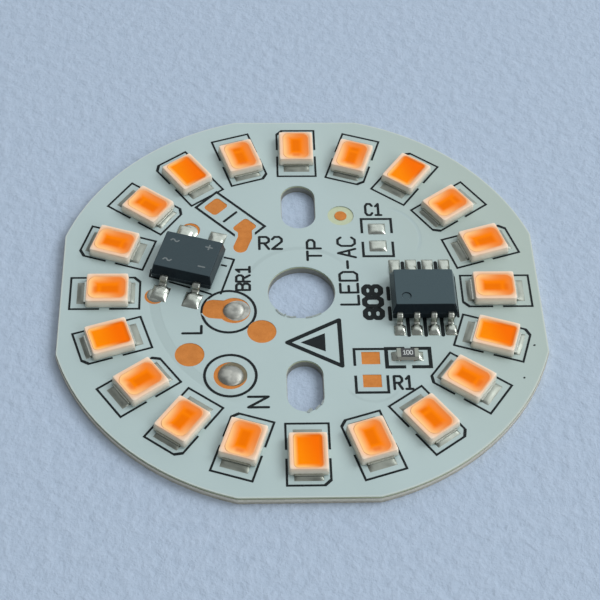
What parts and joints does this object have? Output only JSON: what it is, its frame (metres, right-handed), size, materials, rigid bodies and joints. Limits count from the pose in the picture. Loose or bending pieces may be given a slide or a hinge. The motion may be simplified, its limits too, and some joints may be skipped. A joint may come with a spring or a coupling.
{
  "type": "driver-on-board led module",
  "caption": "Round metal-core LED board with flats, a ring of surface-mount LEDs, and on-board rectifier, driver chip and resistor that run it straight from mains wires.",
  "frame": {"origin": "centre hole's axis at the board's back face", "axes": "+Z out of the lit side, along the centre hole; +X towards the driver chip; +Y along the two slots, away from the wire pads"},
  "size_m": [0.0362, 0.0366, 0.0023],
  "materials": {
    "aluminium_plate": "rolled sheet, sheared edge",
    "dielectric_glue": "filled epoxy",
    "copper_foil": "bare copper with a dull protective film",
    "solder_mask": "semi-gloss white ink",
    "legend_ink": "screen-printed black ink",
    "led_housing": "white moulded resin",
    "led_phosphor": "silicone filled with orange phosphor",
    "tinned_lead": "matt tin plating",
    "led_chip": "clear sapphire die",
    "bond_wire": "drawn gold wire",
    "solder": "reflowed tin solder",
    "black_epoxy": "moulded black epoxy",
    "resistor_ceramic": "fired alumina",
    "resistor_glaze": "black glass glaze"
  },
  "bodies": {
    "root": {"base_plate": "aluminium_plate", "dielectric_layer": "dielectric_glue", "copper_layer": "copper_foil", "solder_mask": "solder_mask", "silkscreen_legend": "legend_ink", "led_housing_01": "led_housing", "led_housing_02": "led_housing", "led_housing_03": "led_housing", "led_housing_04": "led_housing", "led_housing_05": "led_housing", "led_housing_06": "led_housing", "led_housing_07": "led_housing", "led_housing_08": "led_housing", "led_housing_09": "led_housing", "led_housing_10": "led_housing", "led_housing_11": "led_housing", "led_housing_12": "led_housing", "led_housing_13": "led_housing", "led_housing_14": "led_housing", "led_housing_15": "led_housing", "led_housing_16": "led_housing", "led_housing_17": "led_housing", "led_housing_18": "led_housing", "led_housing_19": "led_housing", "led_housing_20": "led_housing", "led_phosphor_01": "led_phosphor", "led_phosphor_02": "led_phosphor", "led_phosphor_03": "led_phosphor", "led_phosphor_04": "led_phosphor", "led_phosphor_05": "led_phosphor", "led_phosphor_06": "led_phosphor", "led_phosphor_07": "led_phosphor", "led_phosphor_08": "led_phosphor", "led_phosphor_09": "led_phosphor", "led_phosphor_10": "led_phosphor", "led_phosphor_11": "led_phosphor", "led_phosphor_12": "led_phosphor", "led_phosphor_13": "led_phosphor", "led_phosphor_14": "led_phosphor", "led_phosphor_15": "led_phosphor", "led_phosphor_16": "led_phosphor", "led_phosphor_17": "led_phosphor", "led_phosphor_18": "led_phosphor", "led_phosphor_19": "led_phosphor", "led_phosphor_20": "led_phosphor", "led_marked_leads": "tinned_lead", "led_plain_leads": "tinned_lead", "led_chips": "led_chip", "led_bond_wires": "bond_wire", "led_solder": "solder", "bridge_body": "black_epoxy", "bridge_leads": "tinned_lead", "driver_body": "black_epoxy", "driver_leads": "tinned_lead", "resistor_body": "resistor_ceramic", "resistor_film": "resistor_glaze", "resistor_caps": "tinned_lead", "component_solder": "solder", "wire_pad_solder": "solder"}
  },
  "joints": []
}
